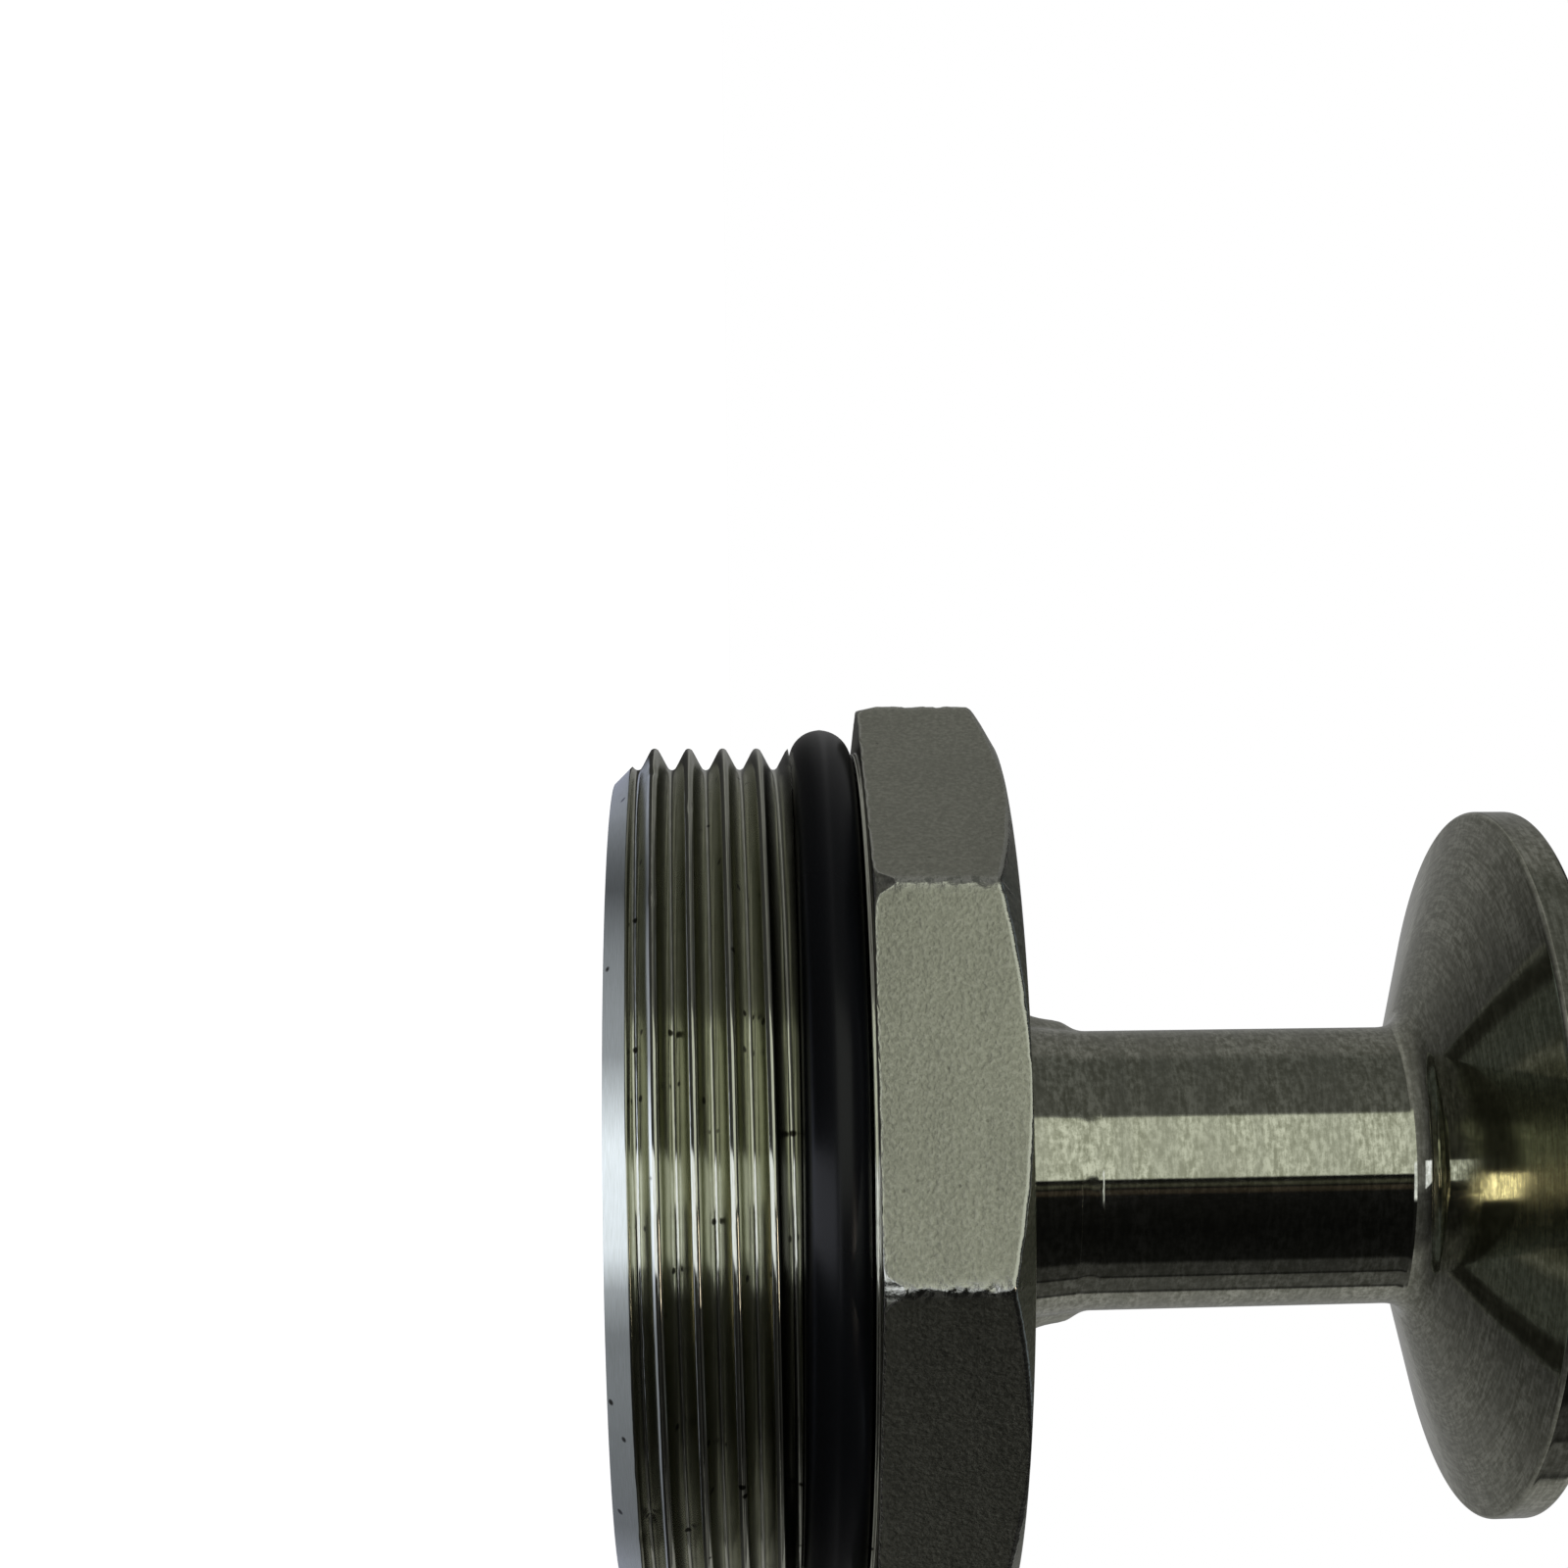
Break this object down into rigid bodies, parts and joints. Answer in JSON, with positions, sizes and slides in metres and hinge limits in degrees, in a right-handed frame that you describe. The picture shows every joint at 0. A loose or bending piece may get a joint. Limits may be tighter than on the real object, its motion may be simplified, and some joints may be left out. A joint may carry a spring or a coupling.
{
  "type": "drum bung adapter",
  "caption": "Octagon-headed pipe-thread drum plug with a seal ring, a through bore and a welded sanitary clamp ferrule.",
  "frame": {"origin": "on the axis, in the plane of the threaded end that the part stands on", "axes": "+Z along the axis from the threaded end to the ferrule's sealing face; X and Y square to flats of the octagon head"},
  "size_m": [0.0621, 0.0622, 0.0631],
  "materials": {
    "cast_steel": "investment cast and machined, fine grain",
    "ring_rubber": "smooth black nitrile",
    "polished_steel": "turned and polished, fine round marks",
    "weld_steel": "weld ground smooth"
  },
  "bodies": {
    "root": {"bung_plug": "cast_steel", "o_ring": "ring_rubber", "clamp_ferrule": "polished_steel", "weld_bead": "weld_steel"}
  },
  "joints": []
}
